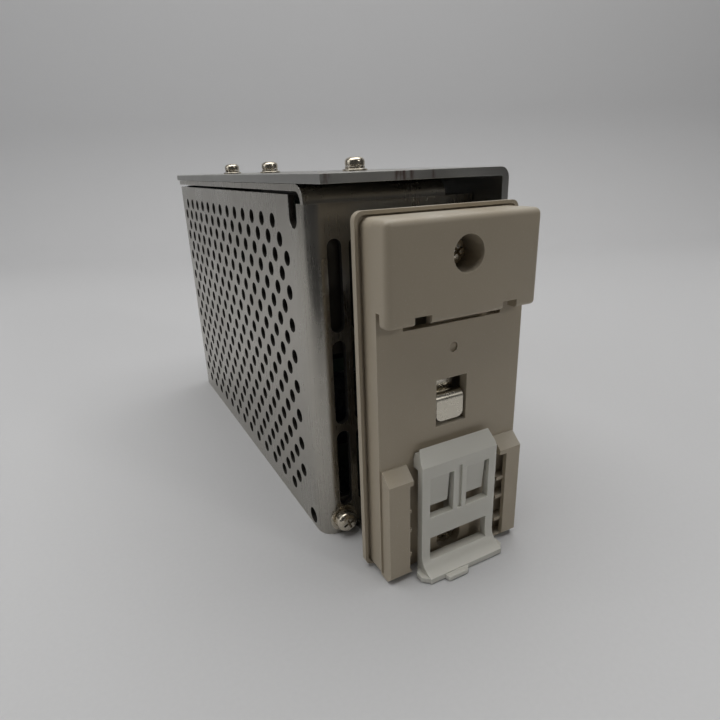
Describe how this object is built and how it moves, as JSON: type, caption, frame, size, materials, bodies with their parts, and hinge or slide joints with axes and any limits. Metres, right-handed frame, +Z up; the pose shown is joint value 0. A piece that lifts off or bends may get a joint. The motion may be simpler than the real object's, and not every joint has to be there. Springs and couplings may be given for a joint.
{
  "type": "din rail power supply",
  "caption": "Slim metal-cased power supply with a perforated side, screw terminals under a clear lid, and a plastic bracket that hooks onto a 35 mm rail with a sliding latch.",
  "frame": {"origin": "centre of the overall box's footprint, on the surface that the unit stands on", "axes": "+Z up, +Y from the rail bracket towards the terminals, +X to the right seen from the rail side"},
  "size_m": [0.05, 0.1686, 0.0986],
  "materials": {
    "chassis_aluminium": "satin, mill finish with sheared edges",
    "cover_steel": "brushed, perforated",
    "nickel_fastener": "nickel-plated, bright",
    "beige_plastic": "fine moulded texture, warm grey-beige",
    "milky_plastic": "milky translucent nylon",
    "dark_plastic": "moulded, fine texture",
    "clear_plastic": "clear, glossy",
    "board_laminate": "green solder mask",
    "ferrite_core": "sintered, matt",
    "copper_winding": "enamelled wire",
    "capacitor_sleeve": "shrunk sleeve",
    "insulation": "thin grey sheet",
    "trimmer_blue": "moulded",
    "lamp_green": "tinted lens"
  },
  "bodies": {
    "housing": {"chassis": "chassis_aluminium", "cover": "cover_steel", "rear_heat_plate": "chassis_aluminium", "cover_flat_washer": "nickel_fastener", "cover_spring_washer": "nickel_fastener", "cover_screw": "nickel_fastener", "rectifier": "dark_plastic", "switching_transistor": "dark_plastic", "output_diode": "dark_plastic", "rail_bracket": "beige_plastic", "hook_screw": "nickel_fastener", "foot_screw": "nickel_fastener", "rail_contact": "nickel_fastener", "circuit_board": "board_laminate", "insulation_sheet": "insulation", "transformer_core": "ferrite_core", "transformer_winding": "copper_winding", "bulk_capacitor": "capacitor_sleeve", "output_capacitor_1": "capacitor_sleeve", "output_capacitor_2": "capacitor_sleeve", "output_choke": "copper_winding", "line_filter_choke": "ferrite_core", "terminal_block": "dark_plastic", "front_panel": "dark_plastic", "trimmer_body": "trimmer_blue", "lamp_lens": "lamp_green", "top_flat_washer_1": "nickel_fastener", "top_spring_washer_1": "nickel_fastener", "top_screw_1": "nickel_fastener", "top_flat_washer_2": "nickel_fastener", "top_spring_washer_2": "nickel_fastener", "top_screw_2": "nickel_fastener", "top_flat_washer_3": "nickel_fastener", "top_spring_washer_3": "nickel_fastener", "top_screw_3": "nickel_fastener", "board_standoff_1": "nickel_fastener", "board_screw_1": "nickel_fastener", "board_standoff_2": "nickel_fastener", "board_screw_2": "nickel_fastener", "board_standoff_3": "nickel_fastener", "board_screw_3": "nickel_fastener", "board_standoff_4": "nickel_fastener", "board_screw_4": "nickel_fastener", "terminal_clamp_1": "nickel_fastener", "terminal_screw_1": "nickel_fastener", "terminal_clamp_2": "nickel_fastener", "terminal_screw_2": "nickel_fastener", "terminal_clamp_3": "nickel_fastener", "terminal_screw_3": "nickel_fastener", "terminal_clamp_4": "nickel_fastener", "terminal_screw_4": "nickel_fastener", "terminal_clamp_5": "nickel_fastener", "terminal_screw_5": "nickel_fastener", "terminal_clamp_6": "nickel_fastener", "terminal_screw_6": "nickel_fastener", "terminal_clamp_7": "nickel_fastener", "terminal_screw_7": "nickel_fastener"},
    "latch": {"rail_latch": "milky_plastic"},
    "terminal_lid": {"terminal_cover": "clear_plastic"},
    "trimmer": {"trimmer_rotor": "milky_plastic"}
  },
  "joints": [
    {"name": "latch_slide", "type": "slide", "parent": "housing", "child": "latch", "axis": [0, 0, -1], "range_m": [0, 0.006], "stiffness_N_per_m": 900},
    {"name": "terminal_lid_hinge", "type": "hinge", "parent": "housing", "child": "terminal_lid", "pos_m": [0.0074, 0.0829, 0.0475], "axis": [0, 0, -1], "range_deg": [0, 110]},
    {"name": "trimmer_turn", "type": "hinge", "parent": "housing", "child": "trimmer", "pos_m": [0.015, 0.078, 0.06], "axis": [0, 1, 0], "range_deg": [-135, 135]}
  ]
}
